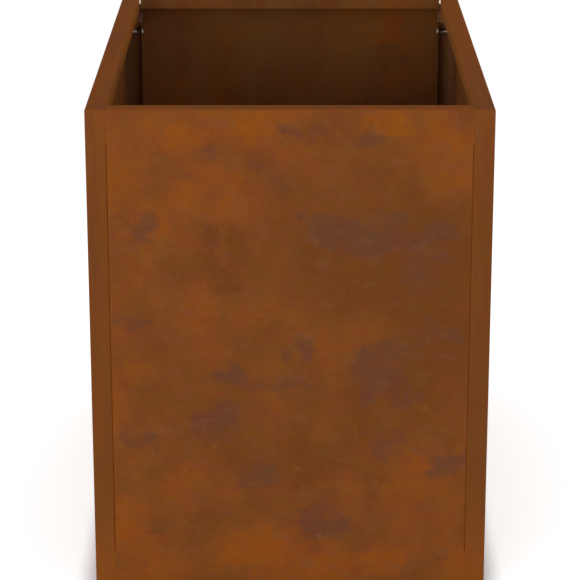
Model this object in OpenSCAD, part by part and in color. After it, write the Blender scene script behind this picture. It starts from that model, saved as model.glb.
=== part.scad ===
// Planter box folded from weathering steel sheet.
//
// Two side panels carry the returns round the vertical corners. Two end panels are screwed
// between them through inward joint flanges, and their rim lips end in ears that are screwed
// behind the side lips. A drained base tray rests on the foot lips of all four panels.
//
// Frame: origin on the ground under the middle of the box, +X to the right side panel,
// +Y to the rear end panel, +Z up. All sizes are in millimetres.

/* [Box] */
// Overall width, across the end panels
width = 400; // [250:10:900]
// Overall length, along the side panels
length = 600; // [250:10:1600]
// Overall height, from the ground to the rim
height = 500; // [200:10:900]

/* [Sheet] */
// Thickness of the sheet in every panel and in the tray
sheet = 1.2; // [0.8:0.1:1.6]
// Outer radius of every fold
bend_r = 2; // [1.8:0.1:3]

/* [Rim and foot folds] */
// Width of the flat rim, and of the foot fold below it
fold_w = 20; // [18:0.5:40]
// Height of the lip that turns down from the rim
rim_lip = 15; // [13:0.5:40]
// Height of the lip that turns up from the foot fold
foot_lip = 15; // [8:0.5:40]

/* [Corner joints] */
// Width of a side panel's return, from its outer face to the joint
return_w = 20.5; // [18:0.5:40]
// Depth of the joint flanges, from the outer face of the end panel
joint_flange = 20; // [16:0.5:40]
// Height from the top of a joint flange to the rim lip
joint_drop = 20; // [5:1:60]
// Height from the base tray's edge to the bottom of a joint flange
joint_rise = 6; // [2:1:60]
// Gap between two sheet edges that meet
butt_gap = 0.1; // [0.05:0.05:0.5]

/* [Screws and nuts] */
// Diameter of the screws
screw_d = 5; // [4:0.5:6]
// Length of a screw under its head
screw_l = 12; // [10:1:14]
// Diameter of the domed screw head
head_d = 9.5; // [8:0.5:11]
// Height of the screw head
head_h = 2.75; // [2:0.25:4]
// Width across the flats of the screw's hexagon socket
socket_af = 3; // [2:0.5:4]
// Width across the flats of the nut
nut_af = 8; // [7:0.5:10]
// Height of the nut
nut_h = 4; // [3:0.5:5]
// How much wider than its screw a hole in the sheet is
hole_play = 0.5; // [0.3:0.1:1]
// How much wider than its screw the nut's bore is
thread_play = 0.2; // [0.1:0.05:0.3]

/* [Corner screws] */
// Screws in each corner joint
screws_per_corner = 3; // [2:1:6]
// Distance from the end of a joint flange to its first screw
screw_margin = 10; // [6:1:40]

/* [Rim screws] */
// Depth of a rim screw below the top of the rim
rim_screw_drop = 7; // [6.5:0.5:8]
// Distance from the face of the end lip to the rim screw
rim_screw_inset = 6.5; // [6:0.5:8]
// Length of the ear that carries the rim screw
ear_l = 13; // [12:1:30]

/* [Base tray] */
// Height of the tray's turned-up edge
tray_edge = 14; // [6:1:60]
// Gap between the tray and the panels round it
tray_play = 0.8; // [0.4:0.1:3]
// Length of the notch that parts the tray's edges at each corner
tray_notch = 5; // [3:0.5:20]
// Diameter of the drainage holes
drain_d = 14; // [6:1:25]
// Drainage holes across the width
drain_columns = 2; // [1:1:6]
// Drainage holes along the length
drain_rows = 3; // [1:1:10]

/* [Hidden] */

$fn = 48;
CORTEN = [0.44, 0.25, 0.12];
ZINC = [0.78, 0.77, 0.74];

// Cutting shapes run this far past what they cut
over = 1;

// Half sizes of the box, and the plane where a side panel's joint flange meets an end panel's
half_w = width / 2;
half_l = length / 2;
joint_x = half_w - return_w;
// Faces of the lips that look into the box
lip_x = half_w - fold_w;
lip_y = half_l - fold_w;
// Free edges of the sheets that meet at a corner without touching
side_edge_x = joint_x + butt_gap / 2;
end_edge_x = joint_x - butt_gap / 2;
// End of a side lip, short of the fold of the ear behind it
side_lip_y = lip_y - (bend_r - sheet) - butt_gap;
// Outer face of an ear, which lies against the back of the side lip
ear_x = lip_x + 2 * sheet;

// Lowest and highest points of the joint flanges
joint_low = foot_lip + tray_edge + joint_rise;
joint_high = height - rim_lip - joint_drop;
// Screws sit in the middle of the joint flange's flat part
screw_y = half_l - (joint_flange + bend_r) / 2;
screw_pitch = (joint_high - joint_low - 2 * screw_margin) / (screws_per_corner - 1);
screw_heights = [for (i = [0 : screws_per_corner - 1]) joint_low + screw_margin + i * screw_pitch];
rim_screw_y = lip_y - rim_screw_inset;
rim_screw_z = height - rim_screw_drop;

// Screw head: a straight rim under a dome, with a socket of half the head's height
head_rim = head_h * 0.3;
dome_h = head_h - head_rim;
dome_r = (head_d * head_d / 4 + dome_h * dome_h) / (2 * dome_h);
socket_depth = head_h * 0.55;
screw_chamfer = 0.5;
nut_chamfer = 0.4;

// The tray's outer half sizes and the pitch of its holes
tray_half_w = half_w - sheet - tray_play;
tray_half_l = half_l - sheet - tray_play;
drain_pitch_x = 2 * lip_x / drain_columns;
drain_pitch_y = 2 * lip_y / drain_rows;

// ---- Placing ----

// Draws a 2D shape in (y, z) and carries it along X
module along_x(low, high) {
    translate([low, 0, 0]) rotate([90, 0, 90]) linear_extrude(high - low) children();
}

// Draws a 2D shape in (x, z) and carries it along Y
module along_y(low, high) {
    translate([0, high, 0]) rotate([90, 0, 0]) linear_extrude(high - low) children();
}

// Draws a 2D shape in (x, y) and carries it along Z
module along_z(low, high) {
    translate([0, 0, low]) linear_extrude(high - low) children();
}

// Mirrors what is drawn for the right side to the side asked for: -1 left, 1 right
module on_side(side) {
    if (side < 0) mirror([1, 0, 0]) children();
    else children();
}

// Mirrors what is drawn for the rear end to the end asked for: -1 front, 1 rear
module on_end(end) {
    if (end < 0) mirror([0, 1, 0]) children();
    else children();
}

module both_sides() {
    children();
    mirror([1, 0, 0]) children();
}

module both_ends() {
    children();
    mirror([0, 1, 0]) children();
}

// ---- Sheet sections ----

// Rectangle from low to high with four round corners
module round_rect(low, high, r) {
    translate([low.x + r, low.y]) square([high.x - low.x - 2 * r, high.y - low.y]);
    translate([low.x, low.y + r]) square([high.x - low.x, high.y - low.y - 2 * r]);
    for (x = [low.x + r, high.x - r], y = [low.y + r, high.y - r])
        translate([x, y]) circle(r = r);
}

// Rectangle in the first quadrant, round only at the origin
module round_corner(size, r) {
    translate([r, 0]) square([size.x - r, size.y]);
    translate([0, r]) square([size.x, size.y - r]);
    translate([r, r]) circle(r = r);
}

// Folded edge of the sheet: its outer corner is at the origin, and its legs run along +x and +y
module angle_section(leg_x, leg_y) {
    difference() {
        round_corner([leg_x, leg_y], bend_r);
        translate([sheet, sheet])
            round_corner([leg_x, leg_y], bend_r - sheet);
    }
}

// Wall with a fold and a lip at the top and at the foot; x = 0 is the face of the lips
module panel_section() {
    difference() {
        round_rect([0, 0], [fold_w, height], bend_r);
        round_rect([sheet, sheet], [fold_w - sheet, height - sheet], bend_r - sheet);
        translate([-over, foot_lip]) square([over + sheet, height - foot_lip - rim_lip]);
    }
}

// ---- Holes ----

module hole_along_x(x, y, z) {
    translate([x, y, z]) rotate([0, 90, 0])
        cylinder(d = screw_d + hole_play, h = 2 * over + 2 * sheet, center = true);
}

// Holes through the joint flanges of the rear right corner
module joint_holes() {
    for (z = screw_heights) hole_along_x(joint_x, screw_y, z);
}

// Hole through the side lip and the ear behind it
module rim_hole() {
    hole_along_x(lip_x + sheet, rim_screw_y, rim_screw_z);
}

// ---- Side panels ----

// Outer form of the right side panel, drawn in by d on every outer face.
// It starts at x = low_x, which leaves the side towards the box open.
module side_form(d, low_x) {
    r = bend_r - d;
    back = low_x - bend_r;
    intersection() {
        along_z(0, height) round_rect([back, d - half_l], [half_w - d, half_l - d], r);
        along_y(-half_l, half_l) round_rect([back, d], [half_w - d, height - d], r);
        along_x(low_x, half_w) round_rect([d - half_l, d], [half_l - d, height - d], r);
    }
}

// Folds of the rim and the foot, whose lips look into the box
module side_lips() {
    along_y(-side_lip_y, side_lip_y) {
        translate([lip_x, height]) mirror([0, 1]) angle_section(2 * bend_r, rim_lip);
        translate([lip_x, 0]) angle_section(2 * bend_r, foot_lip);
    }
}

// Clears the flat sheet where the lips are folded from it
module side_lip_trim() {
    translate([lip_x - over - return_w, -side_lip_y, -over])
        cube([over + return_w + bend_r, 2 * side_lip_y, height + 2 * over]);
}

// Fold that turns a side panel's return into its joint flange, at the rear
module side_joint_fold() {
    along_z(joint_low, joint_high)
        translate([joint_x, half_l]) mirror([0, 1]) angle_section(2 * bend_r, joint_flange);
}

// Clears the edge of the return where the joint flange is folded from it
module side_joint_trim() {
    translate([joint_x - over, half_l - bend_r, joint_low])
        cube([over + bend_r, bend_r + over, joint_high - joint_low]);
}

module side_panel_right() {
    color(CORTEN) difference() {
        union() {
            difference() {
                side_form(0, side_edge_x);
                side_form(sheet, side_edge_x - over);
                side_lip_trim();
                both_ends() side_joint_trim();
            }
            side_lips();
            both_ends() side_joint_fold();
        }
        both_ends() joint_holes();
        both_ends() rim_hole();
    }
}

module side_panel_left() {
    mirror([1, 0, 0]) side_panel_right();
}

// ---- End panels ----

// Fold that turns the edge of an end panel into its joint flange, on the right
module end_joint_fold() {
    along_z(joint_low, joint_high)
        translate([joint_x, half_l]) rotate([0, 0, 180]) angle_section(2 * bend_r, joint_flange);
}

// Clears the edge of the wall where the joint flange is folded from it
module end_joint_trim() {
    translate([joint_x - bend_r, half_l - bend_r, joint_low])
        cube([bend_r + over, bend_r + over, joint_high - joint_low]);
}

// Ear on the end of the rim lip: it passes under the side rim and turns in behind the side lip
module ear() {
    along_z(height - rim_lip, height - bend_r)
        translate([ear_x, lip_y + sheet]) rotate([0, 0, 180])
            angle_section(ear_x - end_edge_x + bend_r, ear_l + sheet);
}

module end_panel_rear() {
    color(CORTEN) difference() {
        union() {
            difference() {
                along_x(-end_edge_x, end_edge_x) translate([lip_y, 0]) panel_section();
                both_sides() end_joint_trim();
            }
            both_sides() end_joint_fold();
            both_sides() ear();
        }
        both_sides() joint_holes();
        both_sides() rim_hole();
    }
}

module end_panel_front() {
    mirror([0, 1, 0]) end_panel_rear();
}

// ---- Base tray ----

// Floor and two turned-up edges across a half size; y = 0 is the underside of the floor
module tray_section(half) {
    difference() {
        round_rect([-half, 0], [half, 2 * tray_edge], bend_r);
        round_rect([sheet - half, sheet], [half - sheet, 3 * tray_edge], bend_r - sheet);
        translate([-half - over, tray_edge]) square([2 * (half + over), 2 * tray_edge]);
    }
}

module drain_holes() {
    for (i = [0 : drain_columns - 1], j = [0 : drain_rows - 1])
        translate([
            (i - (drain_columns - 1) / 2) * drain_pitch_x,
            (j - (drain_rows - 1) / 2) * drain_pitch_y,
            -over
        ])
            cylinder(d = drain_d, h = sheet + 2 * over);
}

module base_tray() {
    color(CORTEN) translate([0, 0, foot_lip]) difference() {
        union() {
            along_y(tray_notch - tray_half_l, tray_half_l - tray_notch) tray_section(tray_half_w);
            along_x(tray_notch - tray_half_w, tray_half_w - tray_notch) tray_section(tray_half_l);
        }
        drain_holes();
    }
}

// ---- Screws and nuts ----

// Button-head screw along +X, with the underside of its head at the origin
module screw() {
    rotate([0, 90, 0]) {
        difference() {
            rotate_extrude() {
                translate([0, -head_rim]) square([head_d / 2, head_rim]);
                intersection() {
                    translate([0, dome_r - head_h]) circle(r = dome_r);
                    translate([0, -head_h]) square([head_d / 2, dome_h]);
                }
            }
            translate([0, 0, -head_h - over])
                cylinder(d = socket_af / cos(30), h = socket_depth + over, $fn = 6);
        }
        rotate_extrude() polygon([
            [0, 0],
            [screw_d / 2, 0],
            [screw_d / 2, screw_l - screw_chamfer],
            [screw_d / 2 - screw_chamfer, screw_l],
            [0, screw_l]
        ]);
    }
}

// Hexagon nut along +X, with its bearing face at the origin
module nut() {
    corner_r = nut_af / cos(30) / 2;
    rotate([0, 90, 0]) difference() {
        intersection() {
            cylinder(r = corner_r, h = nut_h, $fn = 6);
            rotate_extrude() polygon([
                [0, 0],
                [nut_af / 2, 0],
                [corner_r, nut_chamfer],
                [corner_r, nut_h - nut_chamfer],
                [nut_af / 2, nut_h],
                [0, nut_h]
            ]);
        }
        translate([0, 0, -over]) cylinder(d = screw_d + thread_play, h = nut_h + 2 * over);
    }
}

module corner_screws(side, end) {
    color(ZINC) on_side(side) on_end(end)
        for (z = screw_heights) translate([joint_x - sheet, screw_y, z]) screw();
}

module corner_nuts(side, end) {
    color(ZINC) on_side(side) on_end(end)
        for (z = screw_heights) translate([joint_x + sheet, screw_y, z]) nut();
}

module rim_screw(side, end) {
    color(ZINC) on_side(side) on_end(end)
        translate([lip_x, rim_screw_y, rim_screw_z]) screw();
}

module rim_nut(side, end) {
    color(ZINC) on_side(side) on_end(end)
        translate([ear_x, rim_screw_y, rim_screw_z]) nut();
}

// ---- Nodes ----

side_panel_left();
side_panel_right();
end_panel_front();
end_panel_rear();
base_tray();
corner_screws(-1, -1);  // corner_screws_front_left
corner_screws(1, -1);  // corner_screws_front_right
corner_screws(-1, 1);  // corner_screws_rear_left
corner_screws(1, 1);  // corner_screws_rear_right
corner_nuts(-1, -1);  // corner_nuts_front_left
corner_nuts(1, -1);  // corner_nuts_front_right
corner_nuts(-1, 1);  // corner_nuts_rear_left
corner_nuts(1, 1);  // corner_nuts_rear_right
rim_screw(-1, -1);  // rim_screw_front_left
rim_screw(1, -1);  // rim_screw_front_right
rim_screw(-1, 1);  // rim_screw_rear_left
rim_screw(1, 1);  // rim_screw_rear_right
rim_nut(-1, -1);  // rim_nut_front_left
rim_nut(1, -1);  // rim_nut_front_right
rim_nut(-1, 1);  // rim_nut_rear_left
rim_nut(1, 1);  // rim_nut_rear_right
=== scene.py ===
# %% [markdown]
# # A planter box of folded weathering steel
#
# The real box is four folded sheets and a loose tray. Weathering steel is left bare: rain turns its skin
# into a tight coat of rust that never looks the same twice. The shapes come from the CAD frame, which is
# already right to the bend radius, so Blender's work here is the skin of the metal, the bright fasteners
# and a quiet studio to see them in.

# %% Load the frame and measure it
import math

import bpy
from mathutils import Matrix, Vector


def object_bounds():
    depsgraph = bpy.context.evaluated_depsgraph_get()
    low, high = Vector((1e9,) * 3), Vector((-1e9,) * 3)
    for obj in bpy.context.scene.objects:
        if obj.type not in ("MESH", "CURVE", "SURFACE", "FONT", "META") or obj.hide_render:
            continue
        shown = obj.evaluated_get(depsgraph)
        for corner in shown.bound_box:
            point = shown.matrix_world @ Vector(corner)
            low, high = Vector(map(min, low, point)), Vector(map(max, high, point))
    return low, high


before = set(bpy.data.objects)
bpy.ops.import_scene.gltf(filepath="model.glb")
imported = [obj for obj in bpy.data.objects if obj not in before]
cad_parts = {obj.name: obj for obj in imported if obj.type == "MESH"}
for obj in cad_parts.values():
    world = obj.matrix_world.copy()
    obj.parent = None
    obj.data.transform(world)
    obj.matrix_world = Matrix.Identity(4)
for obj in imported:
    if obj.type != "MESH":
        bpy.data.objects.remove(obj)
cad_low, cad_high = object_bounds()
box_width = cad_high.x - cad_low.x
box_length = cad_high.y - cad_low.y
box_height = cad_high.z - cad_low.z
print("box", round(box_width, 3), "x", round(box_length, 3), "x", round(box_height, 3), "m")

# %% [markdown]
# ## The camera
#
# The box is seen end on, from a little above its rim, so that the end panel fills the picture and the
# open top shows as a narrow slot. A long lens from well back keeps the upright edges close to parallel.
# The camera could be moved by hand until it looks right, but four measures say the same thing in a way
# that can be read: how far in front, how far above, how much it nods, and how long the lens is.

# %% Place the camera
camera_gap = 2.300       # metres in front of the end panel
camera_rise = 0.552      # metres above the rim
camera_nod = math.radians(17.74)
lens_length = 150.9      # millimetres, on the usual 36 mm sensor

camera_data = bpy.data.cameras.new("camera")
camera_data.lens = lens_length
camera = bpy.data.objects.new("camera", camera_data)
camera.location = (0, cad_low.y - camera_gap, cad_high.z + camera_rise)
camera.rotation_euler = (math.pi / 2 - camera_nod, 0, 0)
bpy.context.scene.collection.objects.link(camera)
bpy.context.scene.camera = camera
print("camera at", [round(v, 3) for v in camera.location])

# %% [markdown]
# ## Small helpers for node trees
#
# Every finish below is a tree of shader nodes. Written out in full, each node takes three or four lines,
# so these helpers make a node and fill its sockets. A value that is a socket is linked; anything else is
# typed in.

# %% Make and feed nodes
def colour(code):
    """A colour as a painter would write it, #RRGGBB, in the linear light that shaders work in.

    The numbers are the sRGB standard's.
    """
    channels = [int(code[i:i + 2], 16) / 255 for i in (1, 3, 5)]
    linear = [c / 12.92 if c <= 0.04045 else ((c + 0.055) / 1.055) ** 2.4 for c in channels]
    return (*linear, 1.0)


def feed(tree, socket, value):
    """Link another socket, type in a value, or leave what is there where the value is None."""
    if isinstance(value, bpy.types.NodeSocket):
        tree.links.new(value, socket)
    elif value is not None:
        socket.default_value = value


def node(tree, kind, sockets=None, **settings):
    made = tree.nodes.new("ShaderNode" + kind)
    for name, value in settings.items():
        setattr(made, name, value)
    for name, value in (sockets or {}).items():
        feed(tree, made.inputs[name], value)
    return made


print("chestnut brown in linear light:", [round(c, 3) for c in colour("#784420")])

# %% [markdown]
# Sums on single numbers and on vectors come up in every mask, and so does splitting a vector to read how
# high a point lies or which way it faces.

# %% Sums
def maths(tree, operation, first, second=None, third=None):
    made = node(tree, "Math", operation=operation)
    for socket, value in zip(made.inputs, (first, second, third)):
        feed(tree, socket, value)
    return made.outputs["Value"]


def vector_maths(tree, operation, first, second=None, scale=None):
    made = node(tree, "VectorMath", operation=operation)
    feed(tree, made.inputs[0], first)
    feed(tree, made.inputs[1], second)
    if operation == "SCALE":
        feed(tree, made.inputs["Scale"], scale)
    return made.outputs["Value" if operation in ("LENGTH", "DOT_PRODUCT") else "Vector"]


def part_of(tree, vector, axis):
    """One of a vector's three numbers."""
    return node(tree, "SeparateXYZ", {"Vector": vector}).outputs[axis]


def size_of(tree, value):
    """A number without its sign."""
    return maths(tree, "ABSOLUTE", value)


print("sums ready")

# %% [markdown]
# A mask is a number from 0 to 1 for every point. Most masks start as a fade, which turns any number into
# a soft one, and several of them combine by multiplying.

# %% Masks
def fade(tree, value, start, end):
    """0 where value is start, 1 where it is end, and smooth between them."""
    sockets = {"Value": value, "From Min": start, "From Max": end}
    return node(tree, "MapRange", sockets, interpolation_type="SMOOTHSTEP").outputs["Result"]


def opposite(tree, mask):
    """1 where the mask is 0, and 0 where it is 1."""
    return maths(tree, "SUBTRACT", 1.0, mask)


def together(tree, *masks):
    """1 only where every one of these masks is 1."""
    result, *others = masks
    for mask in others:
        result = maths(tree, "MULTIPLY", result, mask)
    return result


print("masks ready")

# %% [markdown]
# A mix goes from one colour or vector to another by a mask. Blender's Mix node keeps its sockets for
# every type in one long list, so the helper looks up which of them to use.

# %% Mixes
MIX_SOCKETS = {"VECTOR": (4, 5, 1), "RGBA": (6, 7, 2)}     # the two inputs and the output of a type


def mix(tree, kind, amount, under, over):
    """under where amount is 0, and over where it is 1."""
    first, second, result = MIX_SOCKETS[kind]
    made = node(tree, "Mix", {"Factor": amount}, data_type=kind)
    feed(tree, made.inputs[first], under)
    feed(tree, made.inputs[second], over)
    return made.outputs[result]


print("mixes ready for", ", ".join(MIX_SOCKETS))

# %% [markdown]
# A cloud is the soft noise that most fades work from. Its patches are about 1 / scale across; detail adds
# smaller ones, as strong as roughness says. The same noise can push a place about, so that whatever is
# drawn there gets ragged edges.

# %% Clouds
def noise(tree, vector, scale, detail, roughness):
    sockets = {"Vector": vector, "Scale": scale, "Detail": detail, "Roughness": roughness}
    return node(tree, "TexNoise", sockets).outputs


def cloud(tree, vector, scale, detail=3.0, roughness=0.5):
    return noise(tree, vector, scale, detail, roughness)["Fac"]


def frayed(tree, vector, scale, detail, roughness, reach):
    """The same place, pushed about by noise."""
    directions = noise(tree, vector, scale, detail, roughness)["Color"]
    push = vector_maths(tree, "SUBTRACT", directions, (0.5, 0.5, 0.5))
    return vector_maths(tree, "ADD", vector, vector_maths(tree, "SCALE", push, scale=reach))


print("clouds ready")

# %% [markdown]
# An effect that several materials use is a node group: built once, with named sockets, and placed in each
# material with its own values.

# %% Make and use groups
def new_group(name, inputs, outputs):
    """A shader node group. inputs are (label, kind, value) and outputs (label, kind)."""
    tree = bpy.data.node_groups.new(name, "ShaderNodeTree")
    for label, kind, value in inputs:
        socket = tree.interface.new_socket(label, in_out="INPUT", socket_type="NodeSocket" + kind)
        socket.default_value = value
    for label, kind in outputs:
        tree.interface.new_socket(label, in_out="OUTPUT", socket_type="NodeSocket" + kind)
    return tree, tree.nodes.new("NodeGroupInput").outputs, tree.nodes.new("NodeGroupOutput").inputs


def use_group(tree, group, sockets):
    made = node(tree, "Group", node_tree=group)
    for name, value in sockets.items():
        feed(tree, made.inputs[name], value)
    return made.outputs


print("group helpers ready")

# %% [markdown]
# ## The run of the sheet
#
# On the broad faces the rust spreads in round blotches. On the narrow folds (rims, lips and returns) it
# is drawn out along the fold, because water runs along a fold and dries there. One pattern of rust serves
# both, if the coordinates are squeezed across a fold and stretched along it. The surface's own direction
# says whether a point lies on a broad face or on a fold, so nothing has to be painted by hand.

# %% Follow the folds
ALONG_FOLDS = 0.3        # factors on the coordinates
ACROSS_FOLDS = 3.5
SQUARE_ON = 0.85         # cosines of a surface's angle to an axis: it looks along the axis from here up,
TURNED_AWAY = 0.35       # and doesn't from here down


def follow_folds(tree, place, broad_axis):
    """Coordinates that stretch along the folds, and a mask that is 1 on a fold and 0 on a broad face."""
    facing = vector_maths(tree, "DOT_PRODUCT", place["Normal"], broad_axis)
    fold = fade(tree, size_of(tree, facing), SQUARE_ON, TURNED_AWAY)
    level = fade(tree, size_of(tree, part_of(tree, place["Normal"], "Z")), TURNED_AWAY, SQUARE_ON)
    gain = ALONG_FOLDS - ACROSS_FOLDS
    squeeze = node(tree, "CombineXYZ", {
        "X": ACROSS_FOLDS,
        "Y": maths(tree, "MULTIPLY_ADD", level, gain, ACROSS_FOLDS),
        "Z": maths(tree, "MULTIPLY_ADD", level, -gain, ALONG_FOLDS),
    }).outputs["Vector"]
    drawn_out = vector_maths(tree, "MULTIPLY", place["Object"], squeeze)
    return mix(tree, "VECTOR", fold, place["Object"], drawn_out), fold


print("along a fold the rust is", round(ACROSS_FOLDS / ALONG_FOLDS, 1), "times longer than across it")

# %% [markdown]
# ## The rust itself
#
# A coat of weathering-steel rust is several browns over each other. Under everything lies an even
# chestnut. Dry spots glow orange, damp ones stay dark, and where the mill scale held on longest there
# are bluish-purple blooms with frayed edges. A picture of real rust would bring all of it at once but
# would repeat on every sheet; layered noise gives each sheet its own pattern and stays sharp at any
# distance.
#
# The group takes the direction that the sheet's broad face looks in, a seed that moves its pattern, and
# three masks that say where blooms, dry glow and damp smudges are wanted. The places that it works on
# are the sheet's own, ragged ones for torn edges, and flattened ones for patches wider than high.

# %% Group: rust coat, its sockets and where it is
WIDER_THAN_HIGH = (0.7, 0.7, 1.1)

rust_coat, given, gives = new_group(
    "Rust coat",
    [
        ("Broad axis", "Vector", (0, 1, 0)),
        ("Seed", "Vector", (0, 0, 0)),
        ("Bloom", "Float", 0.0),
        ("Glow", "Float", 0.0),
        ("Smudge", "Float", 0.0),
    ],
    [("Color", "Color"), ("Roughness", "Float"), ("Height", "Float")],
)
place = node(rust_coat, "TexCoord").outputs
run, fold = follow_folds(rust_coat, place, given["Broad axis"])
on_face = opposite(rust_coat, fold)
at = vector_maths(rust_coat, "ADD", run, given["Seed"])
ragged = frayed(rust_coat, at, scale=40.0, detail=4.0, roughness=0.55, reach=0.02)
flattened = vector_maths(rust_coat, "MULTIPLY", ragged, WIDER_THAN_HIGH)
print("rust coat takes", len(given) - 1, "sockets and gives", len(gives) - 1)

# %% [markdown]
# Real rust has patches at every size at once, from a hand's breadth down to a grain of sand. Each noise
# here is one of those sizes: a scale of 6 is a patch of about 17 cm, and a scale of 700 one of 1.4 mm.

# %% Rust coat: patches of every size
broad = cloud(rust_coat, at, scale=6.0, detail=2.0)
blotch = cloud(rust_coat, ragged, scale=26.0, detail=4.0, roughness=0.6)
fine = cloud(rust_coat, flattened, scale=70.0, detail=4.0, roughness=0.6)
scale_left = cloud(rust_coat, flattened, scale=18.0, detail=4.0)
scale_bits = cloud(rust_coat, flattened, scale=55.0, detail=3.0, roughness=0.6)
fleck = cloud(rust_coat, flattened, scale=80.0, detail=1.0)
grain = cloud(rust_coat, at, scale=700.0, detail=3.0, roughness=0.65)
print("seven noises")

# %% [markdown]
# The coat is painted in layers. Each layer is a mask, the most that it may cover, and a paint that it
# lays over everything below. Two noises often share one mask, so that it has large and small patches.

# %% Rust coat: how a layer is laid
def laid_over(coat, *layers):
    """The coat under these layers, each (mask, strength, paint)."""
    for mask, strength, paint in layers:
        coat = mix(rust_coat, "RGBA", maths(rust_coat, "MULTIPLY", mask, strength), coat, paint)
    return coat


def shared(first, share, second):
    """Two noises in one: a share of the first, and the second for the rest."""
    rest = maths(rust_coat, "MULTIPLY", second, 1 - share)
    return maths(rust_coat, "MULTIPLY_ADD", first, share, rest)


print("layers ready")

# %% [markdown]
# The ground colour runs from damp brown through chestnut to a glowing orange. Along the rim and near the
# ground the sheet dries quickest, so both ends of its height are warmer. Splashes climb higher up the
# narrow upright folds than up the broad faces.

# %% Rust coat: damp, chestnut and glowing
CHESTNUT = colour("#784420")
GLOWING = colour("#8B4B17")
DAMP = colour("#693C1B")
rim_dries = (0.37, 0.52)        # heights in metres: where it starts, and where it is strongest
ground_dries = (0.07, -0.02)
splashes_climb = (0.13, 0.01)
blotch_share = 0.37             # of the tone, beside the broad patches
dry_pull = 0.6                  # how much dryness warms, where a mark warms by 1
warm_pull = 0.145               # how far full warmth raises the tone
glows = (0.46, 0.70)            # tones: where a paint starts to show, and where it shows most
stays_damp = (0.55, 0.33)

height = part_of(rust_coat, place["Object"], "Z")
dry = maths(rust_coat, "ADD", fade(rust_coat, height, *rim_dries), fade(rust_coat, height, *ground_dries))
splashed = together(rust_coat, fold, fade(rust_coat, height, *splashes_climb))
glow_left = maths(rust_coat, "SUBTRACT", given["Glow"], given["Smudge"])
marked = maths(rust_coat, "MULTIPLY", glow_left, on_face)
warmth = maths(rust_coat, "MULTIPLY_ADD", maths(rust_coat, "ADD", dry, splashed), dry_pull, marked)
tone = maths(rust_coat, "MULTIPLY_ADD", warmth, warm_pull, shared(blotch, blotch_share, broad))
coat = laid_over(
    CHESTNUT,
    (fade(rust_coat, tone, *glows), 1.0, GLOWING),
    (fade(rust_coat, tone, *stays_damp), 0.8, DAMP),
)
print("ground colours laid")

# %% [markdown]
# Mill scale is the blue-grey skin that hot rolling leaves. It flakes off slowly, and under the last of it
# the rust comes up purple in one place and slate in another. A wanted bloom only raises the noise that
# decides where scale held, so its edges stay as frayed as the others.

# %% Rust coat: mill-scale blooms
PURPLE = colour("#653C2B")
SLATE = colour("#643F2A")
patch_share = 0.55       # of large patches, beside the small bits
bloom_pull = 0.19        # how far a full mark raises the noise
scale_holds = (0.50, 0.70)
turns_slate = (0.42, 0.58)

held = shared(scale_left, patch_share, scale_bits)
wanted = maths(rust_coat, "MULTIPLY", given["Bloom"], on_face)
bloom = fade(rust_coat, maths(rust_coat, "MULTIPLY_ADD", wanted, bloom_pull, held), *scale_holds)
bloom_colour = mix(rust_coat, "RGBA", fade(rust_coat, blotch, *turns_slate), PURPLE, SLATE)
coat = laid_over(coat, (bloom, 0.9, bloom_colour))
print("blooms laid")

# %% [markdown]
# Over all of it lie small things: deep and greyed spots a centimetre across, a few pale flecks, and the
# grain of the rust itself.

# %% Rust coat: spots, flecks and grain
DEEP = colour("#753E14")
GREYED = colour("#78492F")
PALE = colour("#8A5523")

small_things = [         # noise, where it starts to show, where it shows most, strength, paint
    (fine, 0.5, 0.76, 0.25, DEEP),
    (fine, 0.5, 0.24, 0.5, GREYED),
    (fleck, 0.68, 0.85, 0.4, PALE),
    (grain, 0.52, 0.7, 0.15, PALE),
    (grain, 0.48, 0.3, 0.25, DAMP),
]
for pattern, start, end, strength, paint in small_things:
    coat = laid_over(coat, (fade(rust_coat, pattern, start, end), strength, paint))
print(len(small_things), "kinds of small thing laid")

# %% [markdown]
# The folds carry less of every colour than the broad faces do, so chestnut goes over them again. The
# upright ones stay damper at half height than at either end. Whatever looks straight up, such as the
# rims, turns greyer.

# %% Rust coat: folds
straight_up = (0.85, 0.95)      # cosines of a surface's angle to straight up

damp = opposite(rust_coat, maths(rust_coat, "MAXIMUM", dry, splashed))
looks_up = fade(rust_coat, part_of(rust_coat, place["Normal"], "Z"), *straight_up)
coat = laid_over(
    coat,
    (fold, 0.4, CHESTNUT),
    (together(rust_coat, fold, damp), 0.45, DAMP),
    (looks_up, 0.3, GREYED),
)
print("folds toned down")

# %% [markdown]
# Rust is a mix of several oxides. Where one has the upper hand the brown leans to red, and where another
# has it, to ochre, with hardly any change in how dark it is. Multiplying by a tint near white turns the
# hue of whatever lies below, so one pair of tints serves every colour of the coat.

# %% Rust coat: a drift of hue
RUSSET_TINT = (1.02, 0.94, 1.05)
OCHRE_TINT = (0.98, 1.06, 0.95)
BLUISH_TINT = (1.0, 1.02, 1.12)
YELLOWISH_TINT = (1.0, 0.98, 0.88)

oxides = cloud(rust_coat, flattened, scale=45.0, detail=5.0, roughness=0.85)
veils = cloud(rust_coat, at, scale=150.0, detail=3.0, roughness=0.7)
to_russet = mix(rust_coat, "VECTOR", fade(rust_coat, oxides, 0.36, 0.64), OCHRE_TINT, RUSSET_TINT)
to_bluish = mix(rust_coat, "VECTOR", fade(rust_coat, veils, 0.34, 0.66), YELLOWISH_TINT, BLUISH_TINT)
coat = vector_maths(rust_coat, "MULTIPLY", coat, to_russet)
coat = vector_maths(rust_coat, "MULTIPLY", coat, to_bluish)
print("hue drifts by up to", round((OCHRE_TINT[1] / RUSSET_TINT[1] - 1) * 100), "% in green")
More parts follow.
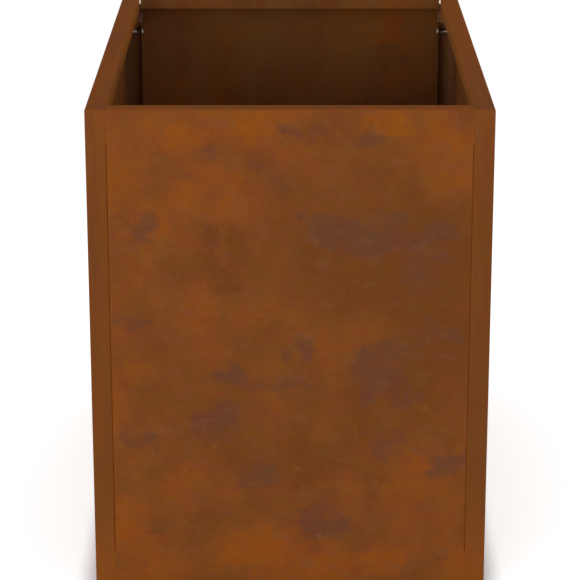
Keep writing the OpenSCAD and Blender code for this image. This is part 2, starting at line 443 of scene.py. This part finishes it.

# %% [markdown]
# Faces that look into the box get a duller, greyer coat: painted light, standing in for the greyer light
# inside the box. The blooms on it are weaker, and the greyer coat lies in streaks that run straight down.
# A face looks inward if it faces the middle of the box.

# %% Rust coat: painted light on the inside faces
PAINTED_INSIDE_LIGHT = colour("#7A502A")
DOWNWARD = (1.0, 1.0, 0.2)      # stretches a pattern to five times its height
looks_inward = (0.0, -0.03)     # metres from the box's middle, in the direction that the face looks
streaks_show = (0.3, 0.7)

from_middle = vector_maths(rust_coat, "SUBTRACT", place["Object"], (0, 0, box_height / 2))
outward = vector_maths(rust_coat, "DOT_PRODUCT", from_middle, place["Normal"])
inside = fade(rust_coat, outward, *looks_inward)
running_down = vector_maths(rust_coat, "MULTIPLY", at, DOWNWARD)
streaks = fade(rust_coat, cloud(rust_coat, running_down, scale=38.0, roughness=0.6), *streaks_show)
# painted light: a greyer coat on the inside faces, laid in streaks
coat = laid_over(
    coat,
    (together(rust_coat, inside, bloom), 0.6, CHESTNUT),
    (together(rust_coat, inside, streaks), 0.9, PAINTED_INSIDE_LIGHT),
)
print("inside faces dulled in streaks")

# %% [markdown]
# The cut edges of the joint flanges, which stand inside the corners, get painted shade: a dark colour
# that stands in for the shadow falling on them. Such an edge looks along the box's length, but stands
# clear of the end walls and of the rim and foot folds.

# %% Rust coat: painted shade on the cut edges
CUT_EDGE_SHADE = colour("#3A2214")
clear_of_walls = box_length / 2 - 0.010
lowest_edge = 0.020
highest_edge = box_height - 0.020
soft = 0.005             # metres over which each limit sets in
end_on = (0.8, 0.95)     # cosines of a surface's angle to the box's length

looks_along = size_of(rust_coat, part_of(rust_coat, place["Normal"], "Y"))
along = size_of(rust_coat, part_of(rust_coat, place["Object"], "Y"))
clear = fade(rust_coat, along, clear_of_walls + soft, clear_of_walls)
above_foot = fade(rust_coat, height, lowest_edge, lowest_edge + soft)
below_rim = fade(rust_coat, height, highest_edge, highest_edge - soft)
between_folds = together(rust_coat, above_foot, below_rim)
# painted shade: the cut edges are darkened where shadow falls on them
cut = together(rust_coat, fade(rust_coat, looks_along, *end_on), clear, between_folds)
coat = laid_over(coat, (cut, 0.9, CUT_EDGE_SHADE))
print("cut edges between", lowest_edge, "and", round(highest_edge, 3), "m")

# %% [markdown]
# Two narrow places get painted light, which lifts the shade that falls in them. One is the seam between
# two panels, where the bends that turn into the joint are painted a brighter orange.

# %% Rust coat: painted light in the seams
SEAM_LIGHT = colour("#A85A14")
seam_across = 0.1795     # metres from the box's middle to a seam
seam_reach = 0.0024      # metres that the painted light reaches to each side of it
seam_core = 0.7          # the share of that reach where it is strongest
outer_skin = box_length / 2 - 0.004
bends_in = (0.98, 0.6)   # cosines, from the flat of the wall into the bend
sharp = 0.001            # metres, for limits that set in at once

across = size_of(rust_coat, part_of(rust_coat, place["Object"], "X"))
beside_seam = size_of(rust_coat, maths(rust_coat, "SUBTRACT", across, seam_across))
near_seam = fade(rust_coat, beside_seam, seam_reach, seam_reach * seam_core)
turning_in = fade(rust_coat, looks_along, *bends_in)
outermost = fade(rust_coat, along, outer_skin - sharp, outer_skin)
outside_between_folds = together(rust_coat, opposite(rust_coat, inside), between_folds)
# painted light on the seam's bends, against the shade in the groove
painted_seam_light = together(rust_coat, near_seam, turning_in, outermost, outside_between_folds)
coat = laid_over(coat, (painted_seam_light, 0.33, SEAM_LIGHT))
print("seams at", seam_across, "m")

# %% [markdown]
# The other is the channel behind each joint flange, which lies deep in shade, so a pale colour is painted
# there as light. This is the last layer, so the coat goes out of the group here.

# %% Rust coat: painted light on the channels
CHANNEL_LIGHT = colour("#AC7850")
channel_across = 0.1815  # metres from the box's middle; a channel lies beyond both of these
channel_along = 0.2805

beyond_flange = fade(rust_coat, across, channel_across - sharp, channel_across)
beyond_edge = fade(rust_coat, along, channel_along - sharp, channel_along)
# painted light: a pale colour in the shaded channels
painted_channel_light = together(rust_coat, beyond_flange, beyond_edge, inside, between_folds)
coat = laid_over(coat, (painted_channel_light, 0.7, CHANNEL_LIGHT))
feed(rust_coat, gives["Color"], coat)
print("channels beyond", channel_across, "m")

# %% [markdown]
# Rust is rough, and slightly less so where scale still covers it. Its relief is far below a millimetre,
# so it goes to the shader as a height for the light to catch, and not into the mesh.

# %% Rust coat: roughness and relief
least_rough = 0.72
rougher_blotch = 0.15
smoother_bloom = 0.08
fine_height = 0.5
grain_height = 0.35

rough = maths(rust_coat, "MULTIPLY_ADD", blotch, rougher_blotch, least_rough)
feed(rust_coat, gives["Roughness"], maths(rust_coat, "MULTIPLY_ADD", bloom, -smoother_bloom, rough))
grain_relief = maths(rust_coat, "MULTIPLY", grain, grain_height)
relief = maths(rust_coat, "MULTIPLY_ADD", fine, fine_height, grain_relief)
feed(rust_coat, gives["Height"], relief)
print("rust coat:", len(rust_coat.nodes), "nodes")

# %% [markdown]
# ## Marks in chosen places
#
# Noise decides most of the rust, but the front panel has blooms and dry spots of its own, which give it
# its face. Each is a soft oval with a place and a size. One group turns an oval into a mask, full in its
# middle and gone a little beyond its edge.

# %% Group: soft mark
FULL_AT = 0.45           # distances from a mark's centre, as shares of its half size
GONE_AT = 1.25

soft_mark, given, gives = new_group(
    "Soft mark",
    [
        ("Vector", "Vector", (0, 0, 0)),
        ("Centre", "Vector", (0, 0, 0)),
        ("Half size", "Vector", (1, 1, 1)),
    ],
    [("Mask", "Float")],
)
offset = vector_maths(soft_mark, "SUBTRACT", given["Vector"], given["Centre"])
reach = vector_maths(soft_mark, "LENGTH", vector_maths(soft_mark, "DIVIDE", offset, given["Half size"]))
feed(soft_mark, gives["Mask"], fade(soft_mark, reach, GONE_AT, FULL_AT))
print("soft mark:", len(soft_mark.nodes), "nodes")

# %% [markdown]
# A panel has many marks, so they are written as lists in millimetres, across from the panel's middle and
# up from the ground. A loop places one soft mark for each and keeps the strongest wherever they meet.

# %% Lists of marks
FLAT_MILLIMETRES = (1000, 0, 1000)      # from metres, and with no depth


def marks_group(name, marks, hold_back=0.0):
    """A group that holds many soft marks, each (across, height, half width, half height, strength)."""
    tree, given, gives = new_group(name, [("Vector", "Vector", (0, 0, 0))], [("Mask", "Float")])
    torn = frayed(tree, given["Vector"], scale=45.0, detail=4.0, roughness=0.65, reach=0.055)
    in_millimetres = vector_maths(tree, "MULTIPLY", torn, FLAT_MILLIMETRES)
    total = 0.0
    for mark_across, mark_height, half_width, half_height, strength in marks:
        centre = (mark_across, 0, mark_height)
        half_size = (half_width, 1, half_height)
        sockets = {"Vector": in_millimetres, "Centre": centre, "Half size": half_size}
        mask = use_group(tree, soft_mark, sockets)["Mask"]
        total = maths(tree, "MAXIMUM", maths(tree, "MULTIPLY", mask, strength), total)
    feed(tree, gives["Mask"], maths(tree, "SUBTRACT", total, hold_back))
    return tree


print("lists of marks ready")

# %% [markdown]
# The blooms hold back a little everywhere else, so that the front panel's purple stays where these marks
# put it: a broad band at the upper right, a patch below it, and smaller ones stepping down to the left.

# %% Group: blooms on the front panel
HOLD_BACK = 0.32

front_blooms = marks_group("Front blooms", [
    (100, 374, 88, 26, 1.0), (34, 381, 32, 14, 1.0), (150, 335, 44, 34, 0.6), (150, 272, 38, 12, 0.8),
    (98, 276, 20, 12, 0.8), (99, 226, 48, 50, 1.0), (8, 247, 20, 20, 0.9), (-8, 217, 62, 16, 1.1),
    (-54, 220, 32, 12, 1.2), (-70, 172, 32, 36, 0.7), (-154, 164, 26, 24, 0.75), (140, 134, 50, 18, 1.0),
    (108, 148, 36, 15, 1.15), (-38, 110, 34, 22, 1.05), (38, 74, 32, 22, 0.85), (8, 95, 34, 8, 0.8),
    (-162, 292, 22, 18, 0.6), (16, 477, 28, 12, 0.85), (80, 474, 26, 10, 0.5), (-78, 464, 13, 13, 0.8),
    (-148, 384, 26, 13, 0.6), (160, 30, 16, 10, 0.6),
], HOLD_BACK)
print("front blooms:", len(front_blooms.nodes), "nodes")

# %% [markdown]
# Dry glow sits along the top, down the left half and in the two lower corners. Damp smudges fill the
# middle of the right half and a few narrow runs beside the glow.

# %% Groups: glow and smudges on the front panel
front_glow = marks_group("Front glow", [
    (-104, 472, 30, 14, 0.5), (-26, 482, 34, 22, 0.7), (94, 488, 26, 14, 0.9),
    (-57, 413, 60, 40, 0.7), (-110, 365, 50, 34, 0.5), (-100, 315, 50, 24, 0.6), (-150, 231, 20, 12, 0.4),
    (-94, 100, 56, 30, 0.9), (-57, 38, 60, 34, 1.0), (99, 22, 26, 20, 1.0), (-140, 60, 60, 60, 0.8),
    (150, 30, 40, 30, 0.5), (-20, 372, 50, 26, 0.5), (-30, 440, 40, 30, 0.5), (150, 440, 36, 40, 0.4),
])
front_smudges = marks_group("Front smudges", [
    (-78, 358, 8, 30, 0.9), (-50, 360, 9, 26, 0.8), (-62, 325, 16, 18, 0.8), (89, 312, 90, 44, 1.0),
    (83, 98, 9, 30, 0.9), (-130, 62, 14, 14, 0.8), (16, 132, 40, 30, 0.8), (-40, 450, 12, 12, 0.6),
    (100, 300, 120, 150, 0.8), (0, 250, 60, 50, 0.7), (-150, 240, 34, 60, 0.6), (150, 180, 34, 50, 0.5),
    (50, 70, 60, 40, 0.6), (-150, 440, 40, 60, 0.4), (-172, 484, 26, 26, 0.5), (174, 482, 26, 30, 0.6),
])
print("front glow and smudges:", len(front_glow.nodes), "and", len(front_smudges.nodes), "nodes")

# %% [markdown]
# ## Marks left to chance
#
# The other sheets have the same three kinds of mark, but nobody chooses their places. A slow noise is cut
# off at a level, and what stays above it is a patch. Each sheet reads the noise somewhere else.

# %% Groups: scattered marks
def scattered_group(name, shift, patches, start, end, hold_back=0.0):
    """A group whose mask comes and goes by itself, in patches wider than they are high."""
    tree, given, gives = new_group(name, [("Vector", "Vector", (0, 0, 0))], [("Mask", "Float")])
    squashed = vector_maths(tree, "MULTIPLY", given["Vector"], (0.65, 0.65, 1.2))
    drift = cloud(tree, vector_maths(tree, "ADD", squashed, shift), scale=patches, roughness=0.6)
    feed(tree, gives["Mask"], maths(tree, "SUBTRACT", fade(tree, drift, start, end), hold_back))
    return tree


scattered_blooms = scattered_group("Scattered blooms", (11.0, 7.0, 3.0), 13.0, 0.50, 0.64, HOLD_BACK)
scattered_glow = scattered_group("Scattered glow", (4.0, 9.0, 1.0), 9.0, 0.50, 0.76)
scattered_smudges = scattered_group("Scattered smudges", (2.0, 13.0, 8.0), 9.0, 0.50, 0.76)
print("scattered marks: 3 groups")

# %% [markdown]
# ## Weathering steel
#
# Each panel is cut from its own place in the coil, so each gets its own material with its own seed. What
# they share sits in the groups above. Rust is matte right out to its edge, where most surfaces turn
# shiny, so the shader's mirror layer is switched off.

# %% Material: weathering steel
RELIEF_DEPTH = 0.0006    # metres
RELIEF_STRENGTH = 0.35


def new_material(name):
    material = bpy.data.materials.new(name)
    material.use_nodes = True
    return material, material.node_tree


def weathering_steel(name, broad_axis, seed, marks):
    material, tree = new_material(name)
    shader = tree.nodes["Principled BSDF"]
    spot = vector_maths(tree, "ADD", node(tree, "TexCoord").outputs["Object"], seed)
    sockets = {"Broad axis": broad_axis, "Seed": seed}
    for socket, group in marks.items():
        sockets[socket] = use_group(tree, group, {"Vector": spot})["Mask"]
    coat = use_group(tree, rust_coat, sockets)
    bump = {"Strength": RELIEF_STRENGTH, "Distance": RELIEF_DEPTH, "Height": coat["Height"]}
    feed(tree, shader.inputs["Base Color"], coat["Color"])
    feed(tree, shader.inputs["Roughness"], coat["Roughness"])
    feed(tree, shader.inputs["Normal"], node(tree, "Bump", bump).outputs["Normal"])
    shader.inputs["Specular IOR Level"].default_value = 0.0
    return material


print("a rust relief of", RELIEF_DEPTH * 1000, "mm")

# %% [markdown]
# The front panel gets the marks in chosen places, and the other sheets those left to chance. A seed is
# any place far from the others' in the noise; the front panel's is zero, so that its marks stay where
# the lists above put them.

# %% Finish the sheets
chosen = {"Bloom": front_blooms, "Glow": front_glow, "Smudge": front_smudges}
chance = {"Bloom": scattered_blooms, "Glow": scattered_glow, "Smudge": scattered_smudges}
sheet_finishes = {
    "side_panel_left": weathering_steel("rust_side_left", (1, 0, 0), (3.1, 0.4, 1.7), chance),
    "side_panel_right": weathering_steel("rust_side_right", (1, 0, 0), (7.3, 2.2, 5.1), chance),
    "end_panel_front": weathering_steel("rust_end_front", (0, 1, 0), (0.0, 0.0, 0.0), chosen),
    "end_panel_rear": weathering_steel("rust_end_rear", (0, 1, 0), (5.6, 8.4, 2.9), chance),
    "base_tray": weathering_steel("rust_tray", (0, 0, 1), (9.2, 6.5, 4.3), chance),
}
for name, material in sheet_finishes.items():
    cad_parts[name].data.materials[0] = material
print(len(sheet_finishes), "sheets finished")

# %% [markdown]
# ## Zinc-plated fasteners
#
# The screws and nuts are plated, so they stay bright while the sheets rust. Zinc has a fine cloudy grain
# with a slight warm tint, and it is smoother in one cloud than in the next. The nuts stand in the
# channels and under the rims, and their zinc is darker and browner.

# %% Material for the fasteners
LEAST_ROUGH_ZINC = 0.22
ROUGHER_CLOUD = 0.25


def plated_zinc(name, bright, hazy):
    material, tree = new_material(name)
    shader = tree.nodes["Principled BSDF"]
    haze = cloud(tree, node(tree, "TexCoord").outputs["Object"], scale=700.0, roughness=0.6)
    tint = mix(tree, "RGBA", fade(tree, haze, 0.35, 0.7), colour(bright), colour(hazy))
    feed(tree, shader.inputs["Base Color"], tint)
    roughness = maths(tree, "MULTIPLY_ADD", haze, ROUGHER_CLOUD, LEAST_ROUGH_ZINC)
    feed(tree, shader.inputs["Roughness"], roughness)
    shader.inputs["Metallic"].default_value = 1.0
    return material


bright_zinc = plated_zinc("bright_zinc", "#DCD4C6", "#BCB2A2")
dulled_zinc = plated_zinc("dulled_zinc", "#8E7E6C", "#6B5D50")
for name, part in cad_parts.items():
    if name not in sheet_finishes:
        part.data.materials[0] = dulled_zinc if "nut" in name else bright_zinc
print(len(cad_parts) - len(sheet_finishes), "fastener nodes finished")

# %% [markdown]
# ## The studio
#
# Soft boxes stand low around the box and one hangs over it, so that every side is lit evenly and the
# inside falls dark below the rim. A lamp's power is worked out from the share of white it should give at
# the box: light thins out with the square of the distance.

# %% Lamps
def soft_box(name, place, aim, width, height, share):
    """A rectangular lamp at place, width x height metres, that looks at aim."""
    data = bpy.data.lights.new(name, "AREA")
    data.shape = "RECTANGLE"
    data.size = width
    data.size_y = height
    from_aim = Vector(place) - Vector(aim)
    data.energy = share * math.pi ** 2 * from_aim.length ** 2
    lamp = bpy.data.objects.new(name, data)
    lamp.location = place
    lamp.rotation_euler = from_aim.to_track_quat("Z", "Y").to_euler()
    bpy.context.scene.collection.objects.link(lamp)
    return lamp


middle = (0, 0, box_height / 2)
soft_boxes = [           # name, place, aim, width, height, share of white
    soft_box("front_box", (-0.9, -3.2, 0.75), middle, 3.0, 1.1, 0.395),
    soft_box("left_box", (-3.2, 0.2, 1.3), middle, 2.4, 1.4, 0.28),
    soft_box("right_box", (3.2, -0.3, 1.3), middle, 2.4, 1.4, 0.28),
    soft_box("rear_box", (0.5, 3.2, 0.8), middle, 2.4, 1.1, 0.32),
    soft_box("top_box", (0, 0, 3.2), middle, 2.4, 2.4, 0.08),
]
for lamp in soft_boxes:
    print(lamp.name, round(lamp.data.energy, 1), "W")

# %% [markdown]
# The room has two faces: what the camera and a polished screw head see of it, and the light it gives.
# The Light Path node tells them apart. The world and the floor both need that, so it is a helper, and so
# is the mix of two shaders that goes with it.

# %% What is seen and what only gives light
WHITE = (1.0, 1.0, 1.0, 1.0)


def looked_at(tree):
    """1 where the camera, a reflection or a look through glass asks, 0 where only light is gathered."""
    ray = node(tree, "LightPath").outputs
    reflected = maths(tree, "MAXIMUM", ray["Is Glossy Ray"], ray["Is Transmission Ray"])
    return maths(tree, "MAXIMUM", ray["Is Camera Ray"], reflected)


def mix_shaders(tree, amount, under, over):
    made = node(tree, "MixShader", {"Fac": amount})
    feed(tree, made.inputs[1], under.outputs[0])
    feed(tree, made.inputs[2], over.outputs[0])
    return made


print("seen in plain white:", WHITE)

# %% [markdown]
# The world is the white of the room. It is seen as full white, while the light it gives is about half of
# that, so the lamps keep their shape on the steel.

# %% World
DAYLIGHT = 0.52

world = bpy.data.worlds.new("studio")
bpy.context.scene.world = world
world.use_nodes = True
tree = world.node_tree
tree.nodes.clear()
lit = node(tree, "Background", {"Color": WHITE, "Strength": DAYLIGHT})
shown = node(tree, "Background", {"Color": WHITE, "Strength": 1.0})
both = mix_shaders(tree, looked_at(tree), lit, shown)
feed(tree, node(tree, "OutputWorld").inputs["Surface"], both.outputs[0])
print("daylight", DAYLIGHT)

# %% [markdown]
# The floor is a sheet of matte paper under the feet. The camera sees it lifted towards white, and wholly
# white farther off, so that only the box's own shadow is left on it. Under the box hardly anything is
# lifted, or the floor would shine through the drain holes. Just outside the outline the lift fades in
# over a few centimetres, which paints a narrow shadow around the foot.

# %% Floor
FLOOR_REACH = 14.0       # metres across
FLOOR_DROP = 0.0003      # metres under the feet, so that the two surfaces stay apart
PAPER = (0.80, 0.80, 0.80, 1.0)
PAPER_LIFT = 0.5
painted_shadow_band = (-0.004, 0.025)        # metres from the box's outline: where it starts and ends
turns_white = (0.7, 1.9)            # metres from the box's middle

bpy.ops.mesh.primitive_grid_add(x_subdivisions=2, y_subdivisions=2, size=FLOOR_REACH)
floor = bpy.context.object
floor.location.z = -FLOOR_DROP
floor.name = "studio_floor"
paper, tree = new_material("paper_floor")
floor.data.materials.append(paper)

tree.nodes.clear()
spot = node(tree, "TexCoord").outputs["Object"]
far = fade(tree, vector_maths(tree, "LENGTH", spot), *turns_white)
footprint = (box_width / 2, box_length / 2, 1)
beyond = vector_maths(tree, "SUBTRACT", vector_maths(tree, "ABSOLUTE", spot), footprint)
from_outline = vector_maths(tree, "LENGTH", vector_maths(tree, "MAXIMUM", beyond, (0, 0, 0)))
# painted shadow: the lift fades out close to the box's outline
lift_outside_painted_shadow = fade(tree, from_outline, *painted_shadow_band)
print("floor", FLOOR_REACH, "m across")

# %% [markdown]
# Two shaders make the paper: a plain matte one that all the light meets, and a lifted one that only the
# camera and reflections see.

# %% Paper shaders
matte = node(tree, "BsdfDiffuse", {"Color": PAPER})
white = node(tree, "Emission", {"Color": WHITE, "Strength": 1.0})
lift_strength = maths(tree, "MULTIPLY", lift_outside_painted_shadow, PAPER_LIFT)
lift = node(tree, "Emission", {"Color": WHITE, "Strength": lift_strength})
near = node(tree, "AddShader")
feed(tree, near.inputs[0], matte.outputs[0])
feed(tree, near.inputs[1], lift.outputs[0])
lifted = mix_shaders(tree, far, near, white)
both = mix_shaders(tree, looked_at(tree), matte, lifted)
feed(tree, node(tree, "OutputMaterial").inputs["Surface"], both.outputs[0])
print("paper floor:", len(tree.nodes), "nodes")

# %% [markdown]
# ## Colours as they are written
#
# Left to itself, Blender softens the picture's bright colours as film would. The standard view shows each
# colour as it is written above, so a brown can be chosen by eye and comes out as chosen.

# %% View
bpy.context.scene.view_settings.view_transform = "Standard"
print("view:", bpy.context.scene.view_settings.view_transform)
